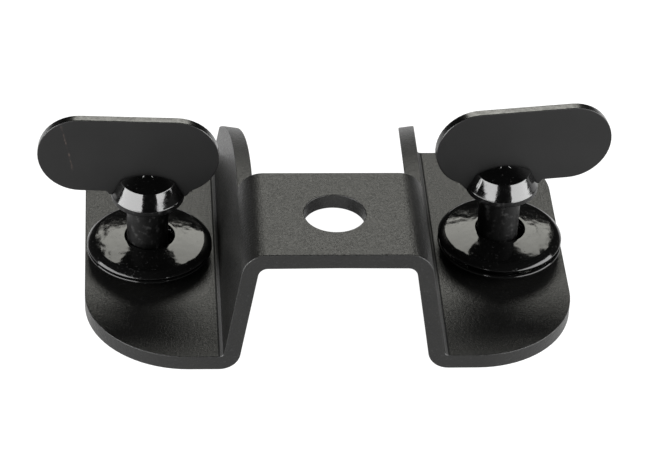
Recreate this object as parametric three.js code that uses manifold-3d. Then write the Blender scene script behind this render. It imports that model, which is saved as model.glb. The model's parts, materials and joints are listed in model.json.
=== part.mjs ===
// Omega mounting bracket with two quarter-turn wing fasteners.
//
// Millimetres, +Z up. The origin is midway between the two fasteners, at the height of the lower
// stud tip. +X runs along the bracket to the right, and -Y is the side that the bridge stands on.

import * as THREE from 'three';
import { mergeVertices } from 'three/addons/utils/BufferGeometryUtils.js';
import Module from 'manifold-3d';

const wasm = await Module();
wasm.setup();

// ---------- driving dimensions: the bracket ----------

const SHEET = 3.5; // steel thickness
const SPAN = 105; // over the outer edges of both flanges
const FRONT_EDGE_Y = -36.7;
const BACK_EDGE_Y = 37.2;
const FRONT_CORNER_RADIUS = 22; // outer corners of each flange
const BACK_CORNER_RADIUS = 14.5;
const BRIDGE_RISE = 28.9; // flange underside to bridge top
const BRIDGE_DEPTH = 29.1; // front to back at the bridge's top
const CLAMP_HOLE_RADIUS = 6.5; // clears an M12 clamp bolt
const CLAMP_HOLE_Y = -20.5; // hole in front of the line through both fasteners
const WEB_FOOT_X = 23.4; // web's outer face where it meets the flange top
const WEB_LEAN = THREE.MathUtils.degToRad(9.3); // each web leans in towards the bridge
const FOOT_BEND = 1; // inside radius where web meets flange
const BRIDGE_BEND = 2; // inside radius where web meets bridge
const EAR_RISE = 24.45; // level edge of the ears, above the flange underside, at mid-thickness
const EAR_ARC_RADIUS = 61.5; // the ears' back edge curves down on this radius
const EAR_ARC_START_Y = -2.2;
const EAR_NOTCH_RADIUS = 0.8; // inside corner between an ear and the bridge

// ---------- driving dimensions: one fastener ----------
// Heights are above the flange top. A stud's own heights are above the bottom of its head.

const FASTENER_X = 38.45;
const NECK_RADIUS = 4.5;
const FLANGE_HOLE_RADIUS = 5.5;

const HEAD_RADIUS = 7.9;
const HEAD_RIM = 1.5; // straight band at the bottom of the head
const CONE_RADIUS = 7.75; // foot of the cone, a little inside the rim
const CONE_TOP = 4.8;
const CROWN_RADIUS = 6; // edge where the cone meets the crown
const CROWN_RISE = 1.8;
const SLOT_BOTTOM = 0.6;

const WING_THICKNESS = 2;
const WING_HEIGHT = 18.3;
const WING_LONG_SIDE = 23.6; // stud axis to the outboard end
const WING_SHORT_SIDE = 15.2; // stud axis to the inboard end
const WING_BOTTOM = 1.8; // lower edge, above the bottom of the head
const TONGUE_BOTTOM = 0.9;
const TONGUE_HALF_WIDTH = 8.3;
const SHOULDER_HALF_WIDTH = 9.4;
const SHOULDER_OVERLAP = 0.6; // tongue runs this far up into the plate

const CUP_RADIUS = 13.6;
const CUP_HOLE_RADIUS = 5.3;
const CUP_SHEET = 0.95;
const CUP_CURVE_RADIUS = 110; // the dome's broad, nearly flat top
const CUP_SHOULDER_RADIUS = 2.6; // its shoulder, which rolls down to the rim
const CUP_RIM_SLOPE = THREE.MathUtils.degToRad(65); // how steep the shoulder is at the rim
const DISH_RIM_TOP = 2.6;
const DISH_FLOOR_RADIUS = 9.4;

const SPRING_WIRE_RADIUS = 0.45;
const SPRING_TURNS = 2.75;
const SPRING_WIDE_RADIUS = 8.7;
const SPRING_NARROW_RADIUS = 6.1;
const SPRING_CLEARANCE = 0.2; // under the dome's sloping underside

const PIN_RADIUS = 1.5;
const PIN_LENGTH = 15;
const WASHER_RADIUS = 8;
const WASHER_THICKNESS = 0.8;
const TIP_BELOW_PIN = 2.3;

const FIT_GAP = 0.25; // round a piece that sits in a slot
const TOUCH_GAP = 0.1; // between pieces that only rest on each other

// Each fastener as it stands at rest: y is its place along the flange, play is how far the stud
// stands off the middle of its holes along X, and turn is the direction of the wing's long end.
// lift is how far the stud is pulled up from its lowest rest position, and domeRim is the height of
// the dome's edge.
const FASTENERS = [
  { name: 'left', side: -1, y: -0.8, play: -0.45, turn: 180 - 2.6, lift: 0, domeRim: 3.15 },
  { name: 'right', side: 1, y: 0.4, play: -0.6, turn: 7.6, lift: 1.4, domeRim: 3.95 },
];
const HEAD_BOTTOM = 15.5; // above the flange top, with no lift

// ---------- fineness of the faceted surfaces ----------

const CUP_SEGMENTS = 48; // round a dome, a dish or a stud's head
const HOLE_SEGMENTS = 60;
const WASHER_SEGMENTS = 40;
const PIN_SEGMENTS = 20;
const BEND_STEPS = 8;
const CORNER_STEPS = 20;
const WING_END_STEPS = 12;
const EAR_STEPS = 28;
const CROWN_STEPS = 4;
const DOME_STEPS = 2;
const RIM_STEPS = 4;
const SPRING_STEPS = 50;
const WIRE_STEPS = 4;

// ---------- sizes worked out from them ----------

const TOP_LIFT = Math.max(...FASTENERS.map((fastener) => fastener.lift));
// With the stud fully up, the washer lies against the flange underside and the pin against it.
const PIN_Z = -SHEET - WASHER_THICKNESS - 2 * TOUCH_GAP - PIN_RADIUS - TOP_LIFT;
const TIP_Z = PIN_Z - PIN_RADIUS - TIP_BELOW_PIN;
const FLANGE_TOP = -TIP_Z;
const FLANGE_UNDERSIDE = FLANGE_TOP - SHEET;
const BRIDGE_BACK_Y = CLAMP_HOLE_Y + BRIDGE_DEPTH / 2;
const BRIDGE_FRONT_Y = CLAMP_HOLE_Y - BRIDGE_DEPTH / 2;
// How far the dome's top has dropped at a radius, below its highest edge at the hole.
const domeDrop = (radius) => (radius ** 2 - CUP_HOLE_RADIUS ** 2) / (2 * CUP_CURVE_RADIUS);
// Centre of the shoulder's arc, and where the broad top runs into it. The rim is at z = 0.
const SHOULDER_CENTRE_R = CUP_RADIUS - CUP_SHOULDER_RADIUS * Math.sin(CUP_RIM_SLOPE);
const SHOULDER_CENTRE_Z = -CUP_SHOULDER_RADIUS * Math.cos(CUP_RIM_SLOPE);
const SHOULDER_SLOPE = Math.atan(SHOULDER_CENTRE_R / (CUP_CURVE_RADIUS - CUP_SHOULDER_RADIUS));
const SHOULDER_START_R = SHOULDER_CENTRE_R + CUP_SHOULDER_RADIUS * Math.sin(SHOULDER_SLOPE);
const SHOULDER_START_Z = SHOULDER_CENTRE_Z + CUP_SHOULDER_RADIUS * Math.cos(SHOULDER_SLOPE);
const DOME_HEIGHT = SHOULDER_START_Z + domeDrop(SHOULDER_START_R);

// ---------- materials ----------

const powderCoat = () => new THREE.MeshStandardMaterial({ color: 0x1c1c1c, roughness: 0.62, metalness: 0 });
const glossBlack = () => new THREE.MeshStandardMaterial({ color: 0x060606, roughness: 0.12, metalness: 0 });
const wingBlack = () => new THREE.MeshStandardMaterial({ color: 0x0d0d0d, roughness: 0.3, metalness: 0 });
const springSteel = () => new THREE.MeshStandardMaterial({ color: 0x77777a, roughness: 0.35, metalness: 1 });
const zincSteel = () => new THREE.MeshStandardMaterial({ color: 0x9a9a98, roughness: 0.4, metalness: 1 });

// ---------- helpers ----------

function toManifold(geometry) {
  const bare = geometry.clone();
  bare.deleteAttribute('normal');
  bare.deleteAttribute('uv');
  const merged = mergeVertices(bare, 1e-4);
  return new wasm.Manifold(new wasm.Mesh({
    numProp: 3,
    vertProperties: new Float32Array(merged.attributes.position.array),
    triVerts: new Uint32Array(merged.index.array),
  }));
}

function toGeometry(solid) {
  const mesh = solid.getMesh();
  const geometry = new THREE.BufferGeometry();
  geometry.setAttribute('position', new THREE.BufferAttribute(mesh.vertProperties, 3));
  geometry.setIndex(new THREE.BufferAttribute(mesh.triVerts, 1));
  geometry.computeVertexNormals();
  return geometry;
}

function mesh(name, geometry, material) {
  const result = new THREE.Mesh(geometry, material);
  result.name = name;
  return result;
}

// An outline whose corners [x, y, radius] are rounded by tangent arcs.
function roundedOutline(corners, arcSteps = BEND_STEPS) {
  const points = [];
  corners.forEach(([x, y, radius = 0], i) => {
    const here = new THREE.Vector2(x, y);
    if (radius === 0) {
      points.push(here);
      return;
    }
    const [px, py] = corners[(i + corners.length - 1) % corners.length];
    const [nx, ny] = corners[(i + 1) % corners.length];
    const back = new THREE.Vector2(px, py).sub(here).normalize();
    const ahead = new THREE.Vector2(nx, ny).sub(here).normalize();
    const halfAngle = Math.acos(THREE.MathUtils.clamp(back.dot(ahead), -1, 1)) / 2;
    const centre = back.clone().add(ahead).normalize().multiplyScalar(radius / Math.sin(halfAngle)).add(here);
    const start = back.clone().multiplyScalar(radius / Math.tan(halfAngle)).add(here).sub(centre);
    const turn = Math.sign(back.cross(ahead)) * (Math.PI - 2 * halfAngle);
    for (let step = 0; step <= arcSteps; step += 1) {
      const arm = start.clone().rotateAround(new THREE.Vector2(), (-turn * step) / arcSteps);
      points.push(arm.add(centre));
    }
  });
  return points;
}

// A flat outline made into a slab of the given width, centred on the plane of its two axes.
function slab(points, width, acrossAxis, upAxis) {
  const geometry = new THREE.ExtrudeGeometry(new THREE.Shape(points), { depth: width, bevelEnabled: false });
  geometry.translate(0, 0, -width / 2);
  const normal = acrossAxis.clone().cross(upAxis);
  geometry.applyMatrix4(new THREE.Matrix4().makeBasis(acrossAxis, upAxis, normal));
  return geometry;
}

const X_AXIS = new THREE.Vector3(1, 0, 0);
const Y_AXIS = new THREE.Vector3(0, 1, 0);
const Z_AXIS = new THREE.Vector3(0, 0, 1);

// A turned piece: the profile [radius, z] runs counter-clockwise, with its outer side going up.
function turned(profile, segments) {
  const geometry = new THREE.LatheGeometry(profile.map(([r, z]) => new THREE.Vector2(r, z)), segments);
  geometry.rotateX(Math.PI / 2);
  return geometry;
}

// A circular arc of a profile, from one angle to another.
function arcProfile(centreR, centreZ, radius, fromDegrees, toDegrees, steps) {
  const points = [];
  for (let step = 0; step <= steps; step += 1) {
    const angle = THREE.MathUtils.degToRad(fromDegrees + ((toDegrees - fromDegrees) * step) / steps);
    points.push([centreR + radius * Math.cos(angle), centreZ + radius * Math.sin(angle)]);
  }
  return points;
}

function drill(radius, x, y) {
  const length = 4 * BRIDGE_RISE;
  const geometry = new THREE.CylinderGeometry(radius, radius, length, HOLE_SEGMENTS);
  geometry.rotateX(Math.PI / 2);
  geometry.translate(x, y, 0);
  return toManifold(geometry);
}

// ---------- the bracket, with its flange underside at z = 0 ----------

function bracketSection() {
  const lean = Math.tan(WEB_LEAN);
  const across = SHEET / Math.cos(WEB_LEAN);
  const outerFaceX = (z) => WEB_FOOT_X - (z - SHEET) * lean;
  const innerFaceX = (z) => outerFaceX(z) - across;
  const ceiling = BRIDGE_RISE - SHEET;
  const rightHalf = [
    [innerFaceX(ceiling), ceiling, BRIDGE_BEND],
    [innerFaceX(0), 0, FOOT_BEND + SHEET],
    [SPAN / 2, 0],
    [SPAN / 2, SHEET],
    [WEB_FOOT_X, SHEET, FOOT_BEND],
    [outerFaceX(BRIDGE_RISE), BRIDGE_RISE, BRIDGE_BEND + SHEET],
  ];
  const leftHalf = rightHalf.map(([x, z, radius]) => [-x, z, radius]).reverse();
  return roundedOutline([...rightHalf, ...leftHalf]);
}

// The bracket seen from the side: slanted front edge, bridge, and the ear's long curve to the back.
function bracketSideView() {
  const beyond = 2 * SHEET;
  const arcCentreZ = EAR_RISE - EAR_ARC_RADIUS;
  const arcEnd = Math.asin((BACK_EDGE_Y - EAR_ARC_START_Y) / EAR_ARC_RADIUS);
  const earArc = [];
  for (let step = EAR_STEPS; step >= 0; step -= 1) {
    const angle = (arcEnd * step) / EAR_STEPS;
    earArc.push([
      EAR_ARC_START_Y + EAR_ARC_RADIUS * Math.sin(angle),
      arcCentreZ + EAR_ARC_RADIUS * Math.cos(angle),
    ]);
  }
  return roundedOutline([
    [FRONT_EDGE_Y, -beyond],
    [BACK_EDGE_Y, -beyond],
    ...earArc,
    [BRIDGE_BACK_Y, EAR_RISE, EAR_NOTCH_RADIUS],
    [BRIDGE_BACK_Y, BRIDGE_RISE + beyond],
    [BRIDGE_FRONT_Y, BRIDGE_RISE + beyond],
    [BRIDGE_FRONT_Y, BRIDGE_RISE],
    [FRONT_EDGE_Y, SHEET],
  ]);
}

// The side view as a block to cut with. The webs' edges are cut square to the leaning sheet, so each
// half runs out from the middle along its own web's normal.
function sideBlock() {
  const view = new THREE.Shape(bracketSideView());
  const lean = Math.tan(WEB_LEAN);
  const midWebX = WEB_FOOT_X - SHEET / 2 - (EAR_RISE - SHEET) * lean;
  const geometry = new THREE.ExtrudeGeometry(view, { depth: SPAN / 2 + SHEET, bevelEnabled: false });
  geometry.applyMatrix4(new THREE.Matrix4().makeBasis(Y_AXIS, Z_AXIS, new THREE.Vector3(1, 0, lean)));
  geometry.translate(0, 0, -midWebX * lean);
  const right = toManifold(geometry);
  return right.add(right.mirror([1, 0, 0]));
}

function bracketPlan() {
  const halfSpan = SPAN / 2;
  return roundedOutline([
    [-halfSpan, FRONT_EDGE_Y, FRONT_CORNER_RADIUS],
    [halfSpan, FRONT_EDGE_Y, FRONT_CORNER_RADIUS],
    [halfSpan, BACK_EDGE_Y, BACK_CORNER_RADIUS],
    [-halfSpan, BACK_EDGE_Y, BACK_CORNER_RADIUS],
  ], CORNER_STEPS);
}

function omegaBracket() {
  const bent = toManifold(slab(bracketSection(), 2 * BACK_EDGE_Y, X_AXIS, Z_AXIS));
  const plan = toManifold(slab(bracketPlan(), 4 * BRIDGE_RISE, X_AXIS, Y_AXIS));
  let solid = bent.intersect(sideBlock()).intersect(plan);
  solid = solid.subtract(drill(CLAMP_HOLE_RADIUS, 0, CLAMP_HOLE_Y));
  for (const { side: hand } of FASTENERS) {
    solid = solid.subtract(drill(FLANGE_HOLE_RADIUS, hand * FASTENER_X, 0));
  }
  // The right half is the left half mirrored, so that both have the same facets.
  const left = solid.trimByPlane([-1, 0, 0], 0);
  const bracket = mesh('omega_bracket', toGeometry(left.add(left.mirror([1, 0, 0]))), powderCoat());
  bracket.position.z = FLANGE_UNDERSIDE;
  return bracket;
}

// ---------- the fasteners ----------

// The stud stands on z = 0 at the bottom of its head, and its slot runs along X.
function studGeometry(pinZ, tipZ) {
  const chamfer = 1;
  const rimBreak = 0.25;
  const crownSphere = (CROWN_RADIUS ** 2 + CROWN_RISE ** 2) / (2 * CROWN_RISE);
  const crownEdge = THREE.MathUtils.radToDeg(Math.acos(CROWN_RADIUS / crownSphere));
  const crownTop = CONE_TOP + CROWN_RISE;
  const profile = [
    [0, tipZ],
    [NECK_RADIUS - chamfer, tipZ],
    [NECK_RADIUS, tipZ + chamfer],
    [NECK_RADIUS, 0],
    [HEAD_RADIUS - rimBreak, 0],
    [HEAD_RADIUS, rimBreak],
    [HEAD_RADIUS, HEAD_RIM - (HEAD_RADIUS - CONE_RADIUS)],
    [CONE_RADIUS, HEAD_RIM],
    ...arcProfile(0, crownTop - crownSphere, crownSphere, crownEdge, 90, CROWN_STEPS).slice(0, -1),
    [0, crownTop],
  ];
  const slot = new THREE.BoxGeometry(4 * HEAD_RADIUS, WING_THICKNESS + 2 * FIT_GAP, crownTop);
  slot.translate(0, 0, SLOT_BOTTOM + crownTop / 2);
  const pinHoleRadius = PIN_RADIUS + FIT_GAP / 2;
  const pinHole = new THREE.CylinderGeometry(pinHoleRadius, pinHoleRadius, PIN_LENGTH, PIN_SEGMENTS);
  pinHole.rotateZ(Math.PI / 2);
  pinHole.translate(0, 0, pinZ);
  const blank = toManifold(turned(profile, CUP_SEGMENTS));
  return toGeometry(blank.subtract(toManifold(slot)).subtract(toManifold(pinHole)));
}

// The plate's round ends, and the tongue with sloping shoulders that fills the stud's slot.
function wingGeometry() {
  const endRadius = WING_HEIGHT / 2;
  const middleZ = WING_BOTTOM + endRadius;
  const plate = new THREE.Shape();
  plate.absarc(WING_LONG_SIDE - endRadius, middleZ, endRadius, -Math.PI / 2, Math.PI / 2);
  plate.absarc(endRadius - WING_SHORT_SIDE, middleZ, endRadius, Math.PI / 2, (3 * Math.PI) / 2);
  const shoulderZ = WING_BOTTOM + SHOULDER_OVERLAP;
  const tongue = roundedOutline([
    [-TONGUE_HALF_WIDTH, TONGUE_BOTTOM],
    [TONGUE_HALF_WIDTH, TONGUE_BOTTOM],
    [SHOULDER_HALF_WIDTH, shoulderZ],
    [-SHOULDER_HALF_WIDTH, shoulderZ],
  ]);
  const asSolid = (outline) => toManifold(slab(outline, WING_THICKNESS, X_AXIS, Z_AXIS));
  return toGeometry(asSolid(plate.getPoints(WING_END_STEPS)).add(asSolid(tongue)));
}

// Rim down, with its lower edge at z = 0: a nearly flat top, and a shoulder that rolls down to the rim.
function domeCupGeometry() {
  const degrees = THREE.MathUtils.radToDeg;
  const innerShoulder = CUP_SHOULDER_RADIUS - CUP_SHEET;
  const outerRim = 90 - degrees(CUP_RIM_SLOPE);
  const innerRim = degrees(Math.asin(-SHOULDER_CENTRE_Z / innerShoulder));
  const shoulderTop = 90 - degrees(SHOULDER_SLOPE);
  const innerStartR = SHOULDER_CENTRE_R + innerShoulder * Math.sin(SHOULDER_SLOPE);
  const outer = [];
  const inner = [];
  for (let step = 1; step <= DOME_STEPS; step += 1) {
    const outerR = THREE.MathUtils.lerp(SHOULDER_START_R, CUP_HOLE_RADIUS, step / DOME_STEPS);
    const innerR = THREE.MathUtils.lerp(CUP_HOLE_RADIUS, innerStartR, (step - 1) / DOME_STEPS);
    outer.push([outerR, DOME_HEIGHT - domeDrop(outerR)]);
    inner.push([innerR, DOME_HEIGHT - CUP_SHEET - domeDrop(innerR)]);
  }
  const arc = (radius, from, to) => (
    arcProfile(SHOULDER_CENTRE_R, SHOULDER_CENTRE_Z, radius, from, to, RIM_STEPS)
  );
  const innerArc = arc(innerShoulder, shoulderTop, innerRim);
  const profile = [...arc(CUP_SHOULDER_RADIUS, outerRim, shoulderTop), ...outer, ...inner, ...innerArc];
  return turned([...profile, profile[0]], CUP_SEGMENTS);
}

function baseDishGeometry() {
  const rimEdge = 0.3;
  const profile = [
    [CUP_HOLE_RADIUS + FIT_GAP, 0],
    [DISH_FLOOR_RADIUS, 0],
    [CUP_RADIUS - rimEdge, DISH_RIM_TOP - CUP_SHEET],
    [CUP_RADIUS, DISH_RIM_TOP - CUP_SHEET + rimEdge],
    [CUP_RADIUS, DISH_RIM_TOP - rimEdge],
    [CUP_RADIUS - rimEdge, DISH_RIM_TOP],
    [DISH_FLOOR_RADIUS, CUP_SHEET],
    [CUP_HOLE_RADIUS + FIT_GAP, CUP_SHEET],
    [CUP_HOLE_RADIUS + FIT_GAP, 0],
  ];
  return turned(profile, CUP_SEGMENTS);
}

class ConicalHelix extends THREE.Curve {
  constructor(bottomZ, topZ) {
    super();
    this.bottomZ = bottomZ;
    this.topZ = topZ;
  }

  getPoint(t, target = new THREE.Vector3()) {
    const angle = 2 * Math.PI * SPRING_TURNS * t;
    const radius = THREE.MathUtils.lerp(SPRING_WIDE_RADIUS, SPRING_NARROW_RADIUS, t);
    const z = THREE.MathUtils.lerp(this.bottomZ, this.topZ, t);
    return target.set(radius * Math.cos(angle), radius * Math.sin(angle), z);
  }
}

function springGeometry(floorZ, ceilingZ) {
  const inset = TOUCH_GAP + SPRING_WIRE_RADIUS;
  const wire = new THREE.Shape();
  wire.absarc(0, 0, SPRING_WIRE_RADIUS, 0, 2 * Math.PI);
  return new THREE.ExtrudeGeometry(wire, {
    extrudePath: new ConicalHelix(floorZ + inset, ceilingZ - inset),
    steps: SPRING_STEPS,
    curveSegments: WIRE_STEPS,
    bevelEnabled: false,
  });
}

function crossPinGeometry() {
  const breakEdge = 0.3;
  const half = PIN_LENGTH / 2;
  const profile = [
    [0, -half],
    [PIN_RADIUS - breakEdge, -half],
    [PIN_RADIUS, -half + breakEdge],
    [PIN_RADIUS, half - breakEdge],
    [PIN_RADIUS - breakEdge, half],
    [0, half],
  ];
  const geometry = turned(profile, PIN_SEGMENTS);
  geometry.rotateY(Math.PI / 2);
  return geometry;
}

function keeperWasherGeometry() {
  const holeRadius = NECK_RADIUS + FIT_GAP;
  const profile = [
    [holeRadius, 0],
    [WASHER_RADIUS, 0],
    [WASHER_RADIUS, WASHER_THICKNESS],
    [holeRadius, WASHER_THICKNESS],
    [holeRadius, 0],
  ];
  return turned(profile, WASHER_SEGMENTS);
}

function fastener({ name, side, y, play, turn, lift, domeRim }) {
  const headZ = HEAD_BOTTOM + lift;
  const pinZ = PIN_Z + lift;
  const tipZ = TIP_Z + lift;
  const springCeiling = domeRim + DOME_HEIGHT - CUP_SHEET - domeDrop(SPRING_NARROW_RADIUS) - SPRING_CLEARANCE;

  // Everything that doesn't turn.
  const still = new THREE.Group();
  const dish = mesh(`${name}_base_dish`, baseDishGeometry(), glossBlack());
  dish.position.z = TOUCH_GAP / 2;
  const spring = mesh(`${name}_cup_spring`, springGeometry(CUP_SHEET + TOUCH_GAP, springCeiling), springSteel());
  const dome = mesh(`${name}_dome_cup`, domeCupGeometry(), glossBlack());
  dome.position.z = domeRim;
  const washer = mesh(`${name}_keeper_washer`, keeperWasherGeometry(), zincSteel());
  washer.position.set(play, 0, pinZ + PIN_RADIUS + TOUCH_GAP);
  still.add(dish, spring, dome, washer);

  // The stud and what turns with it.
  const turning = new THREE.Group();
  turning.position.x = play;
  turning.rotation.z = THREE.MathUtils.degToRad(turn);
  const stud = mesh(`${name}_stud`, studGeometry(pinZ - headZ, tipZ - headZ), glossBlack());
  const wing = mesh(`${name}_wing_plate`, wingGeometry(), wingBlack());
  stud.position.z = headZ;
  wing.position.z = headZ;
  const pin = mesh(`${name}_cross_pin`, crossPinGeometry(), zincSteel());
  pin.position.z = pinZ;
  turning.add(stud, wing, pin);

  const group = new THREE.Group();
  group.position.set(side * FASTENER_X, y, FLANGE_TOP);
  group.add(still, turning);
  return group;
}

const group = new THREE.Group();
group.add(omegaBracket());
for (const setting of FASTENERS) {
  group.add(fastener(setting));
}

export default group;
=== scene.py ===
"""Looks of an omega mounting bracket with two quarter-turn wing fasteners.

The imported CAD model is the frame. Every piece is built in metres, in the place that the CAD gives it.
"""
import json
import math

import bmesh
import bpy
from mathutils import Matrix, Vector


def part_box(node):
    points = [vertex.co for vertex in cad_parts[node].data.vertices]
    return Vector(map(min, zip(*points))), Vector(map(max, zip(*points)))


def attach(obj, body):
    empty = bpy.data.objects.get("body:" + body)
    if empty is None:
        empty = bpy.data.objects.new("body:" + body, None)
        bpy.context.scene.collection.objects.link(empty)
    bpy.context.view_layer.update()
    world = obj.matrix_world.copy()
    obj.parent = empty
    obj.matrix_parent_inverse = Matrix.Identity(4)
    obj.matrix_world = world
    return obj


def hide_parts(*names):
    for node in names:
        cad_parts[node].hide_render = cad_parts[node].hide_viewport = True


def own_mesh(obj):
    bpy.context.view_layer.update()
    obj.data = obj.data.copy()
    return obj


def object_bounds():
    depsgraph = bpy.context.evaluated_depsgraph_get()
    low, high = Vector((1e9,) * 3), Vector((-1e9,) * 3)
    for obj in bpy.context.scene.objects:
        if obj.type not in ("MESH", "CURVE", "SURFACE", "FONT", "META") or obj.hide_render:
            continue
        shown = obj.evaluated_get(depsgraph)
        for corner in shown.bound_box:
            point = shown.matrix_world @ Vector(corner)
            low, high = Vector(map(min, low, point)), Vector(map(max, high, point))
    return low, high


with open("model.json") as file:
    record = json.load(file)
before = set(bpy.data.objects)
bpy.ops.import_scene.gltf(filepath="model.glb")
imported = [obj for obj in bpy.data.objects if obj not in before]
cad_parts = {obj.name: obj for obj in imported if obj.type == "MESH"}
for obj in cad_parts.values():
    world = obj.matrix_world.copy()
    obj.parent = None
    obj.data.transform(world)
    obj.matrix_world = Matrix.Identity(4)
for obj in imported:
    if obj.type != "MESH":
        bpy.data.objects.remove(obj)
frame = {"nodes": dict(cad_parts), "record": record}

CAD_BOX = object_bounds()
MM = 0.001
SIDES = ("left", "right")
UP = Vector((0, 0, 1))

# ---------- sizes of the fine detail ----------

BRACKET_EDGE = 0.22 * MM  # rounding of the sheet's edges under the powder coat
STUD_EDGE = 0.16 * MM
WING_EDGE = 0.22 * MM
WASHER_EDGE = 0.12 * MM
EDGE_SEGMENTS = 3
SHARP_ANGLE = math.radians(28)  # edges that turn more than this are rounded
STUD_SHARP_ANGLE = math.radians(22)
FLAT_NORMALS_WEIGHT = 80  # above 50, large faces keep their own normals at their edges
CUP_SHEET = 0.95 * MM  # of the dome cups and the base dishes
LATHE_SEGMENTS = 144
SPRING_LEVELS = 2  # of subdivision
SCRATCH_ENDS = ((5.3 * MM, 1.8 * MM), (7.5 * MM, 12.5 * MM))  # in from the wing's outer end, and down

# ---------- tolerances for reading the CAD ----------

WELD_DISTANCE = 0.002 * MM
FLAT_ANGLE = math.radians(0.4)  # triangles that turn less than this lie in one face
END_DEPTH = 0.1 * MM  # corners this near to the bracket's outer end are on it
SAME_HEIGHT = 0.01 * MM

# ---------- the light table and the lights, in metres ----------

FLOOR_RADIUS = 6.0
LIT_RADIUS = 0.17  # the table glows fully inside this
DIM_RADIUS = 1.0  # and least outside this
LOWEST_GLOW = 0.4  # as a share of the full glow
SOFTBOX_DISTANCE = 1.1

# ---------- the photograph's view ----------

CAMERA_TURN = -4.95  # degrees from -Y towards +X
CAMERA_RISE = 36.63  # degrees above the part
CAMERA_ROLL = math.radians(-2.78)
CAMERA_DISTANCE = 0.66612
CAMERA_AIM = Vector((0.2, -2.43, -4.4)) * MM  # from the middle of the CAD box
CAMERA_LENS = 169.5  # in millimetres, as is the sensor
SENSOR_WIDTH = 36
CAMERA_REACH = 100


# ---------- frame ----------

BODY_OF_NODE = {
    node: body for body, nodes in frame["record"]["behaviour"]["bodies"].items() for node in nodes
}


def corners_of(node):
    return [vertex.co for vertex in frame["nodes"][node].data.vertices]


def box_centre(node):
    low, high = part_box(node)
    return (low + high) / 2


def fastener_axis(side):
    """Where a fastener's axis stands, as a point at z = 0."""
    centre = box_centre(f"{side}_dome_cup")
    return Vector((centre.x, centre.y, 0))


def hole_radius(node, axis):
    """The smallest distance from the axis to any corner of a CAD node."""
    return min((Vector((corner.x, corner.y, 0)) - axis).length for corner in corners_of(node))


def web_foot():
    """Where the bend at a web's foot runs out into the flange: the distance from X = 0, and the height."""
    outer_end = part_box("omega_bracket")[1].x
    corners = corners_of("omega_bracket")
    flange_top = max(corner.z for corner in corners if abs(corner.x) > outer_end - END_DEPTH)
    foot_x = min(abs(corner.x) for corner in corners if abs(corner.z - flange_top) < SAME_HEIGHT)
    return foot_x, flange_top


# ---------- meshes ----------


def new_piece(name, work):
    """A smooth-shaded object made from a bmesh, which is freed."""
    mesh = bpy.data.meshes.new(name)
    work.to_mesh(mesh)
    work.free()
    mesh.polygons.foreach_set("use_smooth", [True] * len(mesh.polygons))
    piece = bpy.data.objects.new(name, mesh)
    bpy.context.scene.collection.objects.link(piece)
    return piece


def welded(node):
    """A bmesh of a CAD node, whose triangles share their corners."""
    work = bmesh.new()
    work.from_mesh(frame["nodes"][node].data)
    bmesh.ops.remove_doubles(work, verts=work.verts, dist=WELD_DISTANCE)
    return work


def clean_copy(node, name):
    """A copy of a CAD node's mesh, with its flat triangles joined into flat faces."""
    work = welded(node)
    bmesh.ops.dissolve_limit(work, angle_limit=FLAT_ANGLE, verts=work.verts, edges=work.edges)
    return new_piece(name, work)


def round_edges(piece, width, sharp_angle=SHARP_ANGLE):
    bevel = piece.modifiers.new("rounded_edges", "BEVEL")
    bevel.width = width
    bevel.segments = EDGE_SEGMENTS
    bevel.limit_method = "ANGLE"
    bevel.angle_limit = sharp_angle
    bevel.use_clamp_overlap = False
    bevel.loop_slide = False
    bevel.miter_outer = "MITER_ARC"
    normals = piece.modifiers.new("flat_normals", "WEIGHTED_NORMAL")
    normals.keep_sharp = False
    normals.weight = FLAT_NORMALS_WEIGHT


def arc(centre, radius, start, end, steps):
    """Points (radius, height) on a circle from one angle to another, in degrees."""
    points = []
    for step in range(steps + 1):
        angle = math.radians(start + (end - start) * step / steps)
        points.append((centre[0] + radius * math.cos(angle), centre[1] + radius * math.sin(angle)))
    return points


def lathe(name, profile, base_z, axis):
    """A closed profile of (radius, height above base_z) turned about a vertical axis."""
    work = bmesh.new()
    rings = []
    for step in range(LATHE_SEGMENTS):
        angle = 2 * math.pi * step / LATHE_SEGMENTS
        out = Vector((math.cos(angle), math.sin(angle), 0))
        rings.append([work.verts.new(axis + out * r + UP * (z + base_z)) for r, z in profile])
    for step, ring in enumerate(rings):
        after = rings[(step + 1) % LATHE_SEGMENTS]
        for i in range(len(profile)):
            j = (i + 1) % len(profile)
            work.faces.new((ring[i], after[i], after[j], ring[j]))
    bmesh.ops.recalc_face_normals(work, faces=work.faces)
    return new_piece(name, work)


# ---------- pieces ----------


def dress(piece, node, material):
    """The piece stands for a CAD node: same body, its own material."""
    piece.data.materials.append(material)
    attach(piece, BODY_OF_NODE[node])
    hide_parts(node)
    return piece


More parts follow.
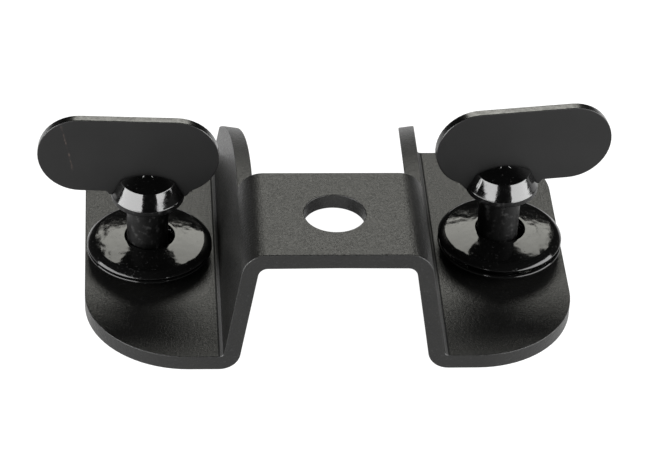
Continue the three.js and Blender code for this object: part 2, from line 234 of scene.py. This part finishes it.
def dome_cup(side):
    """A pressed cup: broad crowned top, rolled shoulder, rounded edge at the hole."""
    node = f"{side}_dome_cup"
    axis = fastener_axis(side)
    low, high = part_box(node)
    outer = (high.x - low.x) / 2
    height = high.z - low.z
    hole = hole_radius(node, axis)
    top_curve = 75 * MM
    top_steps = 10
    shoulder = 2.6 * MM
    rim_angle = 31
    lip = 0.3 * MM
    centre_r = outer - shoulder * math.cos(math.radians(rim_angle))
    centre_z = -shoulder * math.sin(math.radians(rim_angle))
    top_slope = math.atan(centre_r / (top_curve - shoulder))
    top_angle = 90 - math.degrees(top_slope)
    top_start = centre_r + shoulder * math.sin(top_slope)

    def top_height(r):
        return height - (r * r - hole * hole) / (2 * top_curve)

    profile = arc((centre_r, centre_z), shoulder, rim_angle, top_angle, steps=14)
    for step in range(1, top_steps):
        r = top_start + (hole + lip - top_start) * step / top_steps
        profile.append((r, top_height(r)))
    profile += arc((hole + lip, top_height(hole) - lip), lip, 90, 180, steps=4)
    profile += arc((hole + lip, height - CUP_SHEET + lip), lip, 180, 270, steps=4)
    inner_shoulder = shoulder - CUP_SHEET
    inner_angle = math.degrees(math.asin(-centre_z / inner_shoulder))
    profile += arc((centre_r, centre_z), inner_shoulder, top_angle, inner_angle, steps=8)
    # Rings close inside the rim, on its flat underside, keep the smooth shading of its edge tight.
    profile += [(outer - inset * MM, 0) for inset in (0.16, 0.13, 0.10)]
    return lathe(f"{side}_dome", profile, low.z, axis)


def base_dish(side):
    """The lower cup: flat floor, straight flared wall, rounded rim."""
    node = f"{side}_base_dish"
    axis = fastener_axis(side)
    low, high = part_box(node)
    outer = (high.x - low.x) / 2
    height = high.z - low.z
    hole = hole_radius(node, axis)
    hole_edge = 0.1 * MM
    floor = 9.4 * MM  # the radius of the middle of the bend between floor and wall
    bend = 0.6 * MM
    rim = 0.42 * MM  # the radius of the rim's rounding
    profile = [(hole, hole_edge), (hole + hole_edge, 0)]
    profile += [(floor - bend, 0), (floor, 0.05 * MM), (floor + bend, 0.22 * MM)]
    profile += [(outer - 1.6 * rim, height - 2.6 * rim)]
    profile += arc((outer - rim, height - rim), rim, -40, 130, steps=12)
    profile += [(floor + bend, CUP_SHEET + 0.2 * MM), (floor, CUP_SHEET + 0.04 * MM)]
    profile += [(floor - bend, CUP_SHEET), (hole + hole_edge, CUP_SHEET), (hole, CUP_SHEET - hole_edge)]
    return lathe(f"{side}_dish", profile, low.z, axis)


def cup_spring(side):
    """The conical spring, with its wire rounded. Pairs of triangles that bend and skew less are joined."""
    bend = math.radians(40)
    skew = math.radians(60)
    work = welded(f"{side}_cup_spring")
    bmesh.ops.join_triangles(work, faces=work.faces, angle_face_threshold=bend, angle_shape_threshold=skew)
    piece = new_piece(f"{side}_spring", work)
    rounding = piece.modifiers.new("rounded_wire", "SUBSURF")
    rounding.levels = SPRING_LEVELS
    rounding.render_levels = SPRING_LEVELS
    return piece


# ---------- materials ----------

MOST_NOISE = (0.3, 0.7)  # most values of a noise lie in this span
SCUFFS = (0.35, 0.7)  # leaves more of the surface smooth


class Nodes:
    """A short way to write a material's nodes. Sizes that end in _mm are millimetres."""

    def __init__(self, name):
        self.material = bpy.data.materials.new(name)
        self.material.use_nodes = True
        self.tree = self.material.node_tree
        self.shader = self.tree.nodes["Principled BSDF"]
        coordinates = self.add("ShaderNodeTexCoord").outputs
        self.place = coordinates["Object"]
        self.facing = coordinates["Normal"]

    def add(self, kind, inputs=None, **settings):
        node = self.tree.nodes.new(kind)
        for key, value in settings.items():
            setattr(node, key, value)
        for key, value in (inputs or {}).items():
            self.put(node.inputs[key], value)
        return node

    def put(self, socket, value):
        if isinstance(value, bpy.types.NodeSocket):
            self.tree.links.new(value, socket)
        else:
            socket.default_value = value

    def noise(self, per_mm, detail=2, roughness=0.5):
        """Noise with about so many features per millimetre."""
        inputs = {"Vector": self.place, "Scale": per_mm / MM, "Detail": detail, "Roughness": roughness}
        return self.add("ShaderNodeTexNoise", inputs).outputs["Fac"]

    def math(self, operation, a, b=0):
        return self.add("ShaderNodeMath", {0: a, 1: b}, operation=operation).outputs[0]

    def times(self, a, b):
        return self.math("MULTIPLY", a, b)

    def vector_math(self, operation, a, b):
        return self.add("ShaderNodeVectorMath", {0: a, 1: b}, operation=operation).outputs

    def dot(self, a, b):
        return self.vector_math("DOT_PRODUCT", a, b)["Value"]

    def map(self, value, span, to=(0, 1)):
        """The value, mapped from one span to another, and held inside it."""
        inputs = {"Value": value}
        for name, pair in (("From", span), ("To", to)):
            inputs[f"{name} Min"], inputs[f"{name} Max"] = pair
        return self.add("ShaderNodeMapRange", inputs).outputs["Result"]

    def mix(self, factor, a, b):
        node = self.add("ShaderNodeMix", data_type="RGBA")
        self.put(node.inputs["Factor"], factor)
        self.put(node.inputs["A"], a)
        self.put(node.inputs["B"], b)
        return node.outputs["Result"]

    def layer(self, base, mask, strength, colour):
        """A colour laid over the base where the mask is 1, as strong as strength says."""
        return self.mix(self.times(mask, strength), base, colour)

    def bump(self, height, strength, depth_mm, below=None):
        inputs = {"Height": height, "Strength": strength, "Distance": depth_mm * MM}
        if below is not None:
            inputs["Normal"] = below
        return self.add("ShaderNodeBump", inputs).outputs["Normal"]

    def edges(self, radius_mm):
        """About 1 on sharp outer edges, and 0 on flat faces."""
        rounded = self.add("ShaderNodeBevel", {"Radius": radius_mm * MM}, samples=6).outputs["Normal"]
        flat = self.add("ShaderNodeNewGeometry").outputs["Normal"]
        return self.map(self.dot(rounded, flat), (0.99, 0.85))

    def band(self, value, low_mm, high_mm, soft_mm):
        """1 between the two values and 0 outside them, with soft sides."""
        rise = self.map(value, ((low_mm - soft_mm) * MM, low_mm * MM))
        fall = self.map(value, (high_mm * MM, (high_mm + soft_mm) * MM), (1, 0))
        return self.times(rise, fall)

    def worn_and_lit_edges(self, base):
        """The base with its edges lightened to grey: wear, and a painted highlight."""
        return self.layer(base, self.edges(radius_mm=0.3), 0.6, grey(0.012))

    def plated_normal(self, waves_per_mm, depth_mm):
        """Shallow waves under fine pits."""
        waves = self.bump(self.noise(waves_per_mm, roughness=0.55), strength=1, depth_mm=depth_mm)
        pits = self.noise(1.5, detail=3, roughness=0.7)
        return self.bump(pits, strength=0.5, depth_mm=0.012, below=waves)

    def scratch_line(self, start, end, width_mm):
        """A thin broken line between two places on a flat face."""
        along = (end - start).normalized()
        offset = self.vector_math("SUBTRACT", self.place, start)["Vector"]
        reach = self.dot(offset, along)
        nearest = self.add("ShaderNodeVectorMath", {0: along, "Scale": reach}, operation="SCALE")
        away = self.vector_math("SUBTRACT", offset, nearest.outputs["Vector"])["Vector"]
        distance = self.add("ShaderNodeVectorMath", {0: away}, operation="LENGTH").outputs["Value"]
        wander = self.map(self.noise(0.5, roughness=0.6), MOST_NOISE, (-0.25 * MM, 0.25 * MM))
        aside = self.math("ABSOLUTE", self.math("ADD", distance, wander))
        line = self.map(aside, (0, width_mm * MM), (1, 0))
        within = self.band(reach, 0, (end - start).length / MM, soft_mm=0.5)
        broken = self.map(self.noise(1.2, roughness=0.6), (0.40, 0.60), (0.15, 1))
        return self.times(self.times(line, within), broken)

    def set(self, **inputs):
        """The finished material, with these values on its shader."""
        for key, value in inputs.items():
            self.put(self.shader.inputs[key.replace("_", " ")], value)
        return self.material


def grey(value):
    return (value, value, value, 1)


def powder_coat(foot_x, flange_top):
    """Satin black powder coat: fine grain, soft mottling, painted glint specks, edges lightened by wear and
    painted highlight, and a painted highlight line beside painted shade along each web's foot.
    """
    n = Nodes("powder_coat")
    dark = (0.0014, 0.0014, 0.0013, 1)
    light = (0.0026, 0.0026, 0.0023, 1)
    foot_height = 1.6 * MM
    foot_fade = 0.6 * MM
    grain = n.noise(1.7, detail=3, roughness=0.65)
    mottle = n.noise(0.12, detail=3)
    glint_specks = n.map(n.noise(2.2, detail=0), (0.70, 0.78))
    edge = n.edges(radius_mm=0.5)
    axes = n.add("ShaderNodeSeparateXYZ", {0: n.place}).outputs
    from_foot = n.math("SUBTRACT", n.math("ABSOLUTE", axes["X"]), foot_x)
    foot_top = flange_top + foot_height
    low = n.map(axes["Z"], (foot_top + foot_fade, foot_top))
    looks_up = n.map(n.dot(n.facing, UP), (0.3, 0.6))
    foot = n.times(low, looks_up)
    # Along each web's foot: a thin painted highlight line, and beside it a near-black line of painted
    # shade, where the roughness is raised too.
    glint_line = n.times(foot, n.band(from_foot, -0.75, -0.15, soft_mm=0.12))
    shaded_crease = n.times(foot, n.band(from_foot, -0.12, 0.12, soft_mm=0.12))
    base = n.mix(n.map(mottle, MOST_NOISE), dark, light)
    # Painted glints: small light specks laid into the colour.
    base = n.layer(base, glint_specks, 0.5, grey(0.012))
    # Lighter along the sharp edges: wear, and a painted highlight.
    base = n.layer(base, edge, 0.4, grey(0.010))
    base = n.layer(base, glint_line, 0.9, grey(0.035))
    base = n.mix(shaded_crease, base, grey(0.0004))
    rough = n.map(grain, MOST_NOISE, (0.33, 0.49))
    rough = n.math("SUBTRACT", rough, n.times(edge, 0.06))
    rough = n.math("ADD", rough, n.times(shaded_crease, 0.45))
    peel = n.bump(n.noise(0.55), strength=0.3, depth_mm=0.04)
    fine = n.bump(grain, strength=1, depth_mm=0.10, below=peel)
    return n.set(Base_Color=base, Roughness=rough, Normal=fine, IOR=1.38)


def gloss_black():
    """Glossy black plating over pressed sheet: shallow waves, dust specks and fine scuffs."""
    n = Nodes("pressed_gloss_black")
    dust = n.map(n.noise(1.9, detail=1), (0.65, 0.76))
    scuff = n.noise(0.35, detail=4, roughness=0.65)
    base = n.worn_and_lit_edges(n.mix(dust, grey(0.0016), grey(0.012)))
    rough = n.math("ADD", n.map(scuff, SCUFFS, (0.06, 0.15)), n.times(dust, 0.15))
    normal = n.plated_normal(waves_per_mm=0.22, depth_mm=0.13)
    return n.set(Base_Color=base, Roughness=rough, Normal=normal, IOR=1.32)


def turned_black():
    """Glossy black plating on a turned stud: polished on its head, dull and scuffed on its neck, with its
    reflections painted full strength on the head's cone and dimmed elsewhere.
    """
    n = Nodes("turned_gloss_black")
    rise = n.dot(n.facing, UP)
    head = n.map(rise, (0.2, 0.35))
    neck = n.map(head, (0, 1), (1, 0))
    cone = n.times(head, n.map(rise, (0.62, 0.76), (1, 0)))
    scuff = n.noise(0.5, detail=4, roughness=0.7)
    marks = n.map(n.noise(0.9, detail=3, roughness=0.6), (0.55, 0.75))
    dust = n.map(n.noise(1.7, detail=1), (0.68, 0.76))
    dull = n.mix(marks, grey(0.0012), grey(0.024))
    glossy = n.mix(dust, grey(0.0008), grey(0.008))
    base = n.worn_and_lit_edges(n.mix(head, dull, glossy))
    polished = n.map(scuff, SCUFFS, (0.07, 0.17))
    worn = n.map(scuff, MOST_NOISE, (0.34, 0.6))
    rough = n.math("ADD", n.times(polished, head), n.times(worn, neck))
    normal = n.plated_normal(waves_per_mm=0.4, depth_mm=0.05)
    # Painted light: reflections keep full strength on the head's cone and are dimmed to 0.3 elsewhere,
    # picked by which way the surface faces.
    tint = n.mix(cone, grey(0.3), grey(1))
    return n.set(Base_Color=base, Roughness=rough, Normal=normal, Specular_Tint=tint, IOR=1.48)


def wing_black(side, face_normal, scratch):
    """Smooth black sheet: satin faces, brighter sheared edges, sharp edges lightened by wear and a painted
    highlight, and a long faint scratch if there is one.
    """
    n = Nodes(f"{side}_wing_black")
    haze = n.map(n.noise(0.1, detail=3), MOST_NOISE)
    grain = n.noise(3, roughness=0.6)
    flatness = n.math("ABSOLUTE", n.dot(n.facing, face_normal))
    sheared = n.map(flatness, (0.80, 0.60))
    streaks = n.map(n.noise(0.9, detail=3, roughness=0.7), (0.35, 0.65), (0.35, 1))
    base = n.mix(haze, grey(0.0026), grey(0.0036))
    # Lighter along the sharp edges: wear, and a painted highlight.
    base = n.layer(base, n.edges(radius_mm=0.3), 0.5, grey(0.02))
    if scratch is not None:
        start, end = scratch
        base = n.mix(n.scratch_line(start, end, width_mm=0.22), base, (0.030, 0.022, 0.019, 1))
    base = n.mix(sheared, base, n.mix(streaks, grey(0.015), grey(0.06)))
    rough = n.map(haze, (0, 1), (0.42, 0.48))
    rough = n.math("SUBTRACT", rough, n.times(sheared, 0.20))
    fine = n.bump(grain, strength=0.2, depth_mm=0.012)
    return n.set(Base_Color=base, Roughness=rough, Normal=fine, Metallic=sheared, IOR=1.31)


def bright_steel(name, tint):
    """Drawn or turned steel with a thin bright plating."""
    n = Nodes(name)
    grain = n.noise(2, detail=4, roughness=0.6)
    stain = n.noise(0.3, detail=3)
    stained = tuple(level * 0.72 for level in tint)
    base = n.mix(n.map(stain, MOST_NOISE), stained + (1,), tint + (1,))
    rough = n.map(grain, MOST_NOISE, (0.22, 0.38))
    fine = n.bump(grain, strength=0.2, depth_mm=0.01)
    return n.set(Base_Color=base, Roughness=rough, Normal=fine, Metallic=1.0)


# ---------- stage, light and camera ----------


def add_floor():
    """A pale light table, which leaves no shadow under the part."""
    work = bmesh.new()
    bmesh.ops.create_circle(work, cap_ends=True, segments=96, radius=FLOOR_RADIUS)
    floor = new_piece("floor", work)
    floor.location.z = CAD_BOX[0][2]
    n = Nodes("floor")
    base = n.mix(n.noise(0.02), grey(0.08), grey(0.10))
    reach = n.add("ShaderNodeVectorMath", {0: n.place}, operation="LENGTH").outputs["Value"]
    glow = n.map(reach, (LIT_RADIUS, DIM_RADIUS), (1, LOWEST_GLOW))
    look = n.set(Base_Color=base, Roughness=0.85, Emission_Color=grey(1), Emission_Strength=glow)
    floor.data.materials.append(look)


def direction(turn, rise):
    """A unit vector that points away from the part. turn is in degrees from -Y towards +X."""
    turn = math.radians(turn)
    rise = math.radians(rise)
    return Vector((math.sin(turn) * math.cos(rise), -math.cos(turn) * math.cos(rise), math.sin(rise)))


def softbox(name, turn, rise, wide, tall, radiance):
    """A rectangular light that fills so many degrees of the part's view, hidden from the camera."""
    out = direction(turn, rise)
    light = bpy.data.lights.new(name, "AREA")
    light.shape = "RECTANGLE"
    light.size = 2 * SOFTBOX_DISTANCE * math.tan(math.radians(wide / 2))
    light.size_y = 2 * SOFTBOX_DISTANCE * math.tan(math.radians(tall / 2))
    light.energy = radiance * math.pi * light.size * light.size_y
    box = bpy.data.objects.new(name, light)
    box.location = box_centre("omega_bracket") + out * SOFTBOX_DISTANCE
    box.rotation_euler = out.to_track_quat("Z", "Y").to_euler()
    box.visible_camera = False
    bpy.context.scene.collection.objects.link(box)
    return light


def add_lights():
    softbox("left_softbox", turn=-60, rise=19, wide=72, tall=32, radiance=13.5)
    softbox("right_softbox", turn=64, rise=19, wide=66, tall=32, radiance=13.5)
    back = softbox("back_softbox", turn=175, rise=42, wide=32, tall=22, radiance=7.0)
    back.color = (1.0, 0.995, 0.92)


def add_world():
    """A dim room, lighter at the horizon than overhead."""
    world = bpy.data.worlds.new("studio")
    world.use_nodes = True
    tree = world.node_tree
    place = tree.nodes.new("ShaderNodeTexCoord")
    split = tree.nodes.new("ShaderNodeSeparateXYZ")
    ramp = tree.nodes.new("ShaderNodeValToRGB")
    horizon, overhead = ramp.color_ramp.elements
    horizon.position = 0.02
    horizon.color = grey(0.10)
    overhead.position = 0.30
    overhead.color = grey(0.035)
    tree.links.new(place.outputs["Generated"], split.inputs[0])
    tree.links.new(split.outputs["Z"], ramp.inputs[0])
    tree.links.new(ramp.outputs[0], tree.nodes["Background"].inputs["Color"])
    bpy.context.scene.world = world


def add_camera():
    out = direction(CAMERA_TURN, CAMERA_RISE)
    level = direction(CAMERA_TURN + 90, 0)
    up = out.cross(level)
    right = level * math.cos(CAMERA_ROLL) - up * math.sin(CAMERA_ROLL)
    top = level * math.sin(CAMERA_ROLL) + up * math.cos(CAMERA_ROLL)
    low, high = (Vector(corner) for corner in CAD_BOX)
    aim = (low + high) / 2 + CAMERA_AIM
    data = bpy.data.cameras.new("camera")
    data.lens = CAMERA_LENS
    data.sensor_width = SENSOR_WIDTH
    data.clip_end = CAMERA_REACH
    camera = bpy.data.objects.new("camera", data)
    place = Matrix((right, top, out)).transposed().to_4x4()
    place.translation = aim + out * CAMERA_DISTANCE
    camera.matrix_world = place
    bpy.context.scene.collection.objects.link(camera)
    bpy.context.scene.camera = camera


# ---------- the scene ----------


def front_face(piece):
    """The middle of the piece's largest face that looks to the front, and the direction it faces."""
    face = max(piece.data.polygons, key=lambda polygon: -polygon.normal.y * polygon.area)
    return face.center.copy(), face.normal.copy()


def scratch_ends(middle, normal):
    """Where the long scratch starts and ends, on the plane of the left wing's front face."""
    low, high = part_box("left_wing_plate")
    ends = []
    for across, down in SCRATCH_ENDS:
        x = low.x + across
        z = high.z - down
        y = middle.y - ((x - middle.x) * normal.x + (z - middle.z) * normal.z) / normal.y
        ends.append(Vector((x, y, z)))
    return ends


def build_bracket():
    bracket = clean_copy("omega_bracket", "bracket")
    round_edges(bracket, BRACKET_EDGE)
    foot_x, flange_top = web_foot()
    dress(bracket, "omega_bracket", powder_coat(foot_x, flange_top))


def build_spring(side, wire):
    """The spring, in the wire's material, with a mesh of its own."""
    spring = dress(cup_spring(side), f"{side}_cup_spring", wire)
    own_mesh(spring)


def build_fastener(side, pressed, turned, zinc, wire):
    dress(dome_cup(side), f"{side}_dome_cup", pressed)
    dress(base_dish(side), f"{side}_base_dish", pressed)

    stud = clean_copy(f"{side}_stud", f"{side}_camlock_stud")
    round_edges(stud, STUD_EDGE, STUD_SHARP_ANGLE)
    dress(stud, f"{side}_stud", turned)

    wing = clean_copy(f"{side}_wing_plate", f"{side}_wing")
    round_edges(wing, WING_EDGE)
    middle, normal = front_face(wing)
    scratch = scratch_ends(middle, normal) if side == "left" else None
    dress(wing, f"{side}_wing_plate", wing_black(side, normal, scratch))

    for part in ("cross_pin", "keeper_washer"):
        piece = clean_copy(f"{side}_{part}", f"{side}_{part}_finished")
        round_edges(piece, WASHER_EDGE)
        dress(piece, f"{side}_{part}", zinc)

    build_spring(side, wire)


def main():
    add_camera()
    add_floor()
    add_lights()
    add_world()
    build_bracket()
    pressed = gloss_black()
    turned = turned_black()
    zinc = bright_steel("zinc_steel", (0.55, 0.55, 0.54))
    wire = bright_steel("spring_steel", (0.38, 0.38, 0.39))
    for side in SIDES:
        build_fastener(side, pressed, turned, zinc, wire)
    bpy.context.scene.view_settings.view_transform = "Standard"


main()
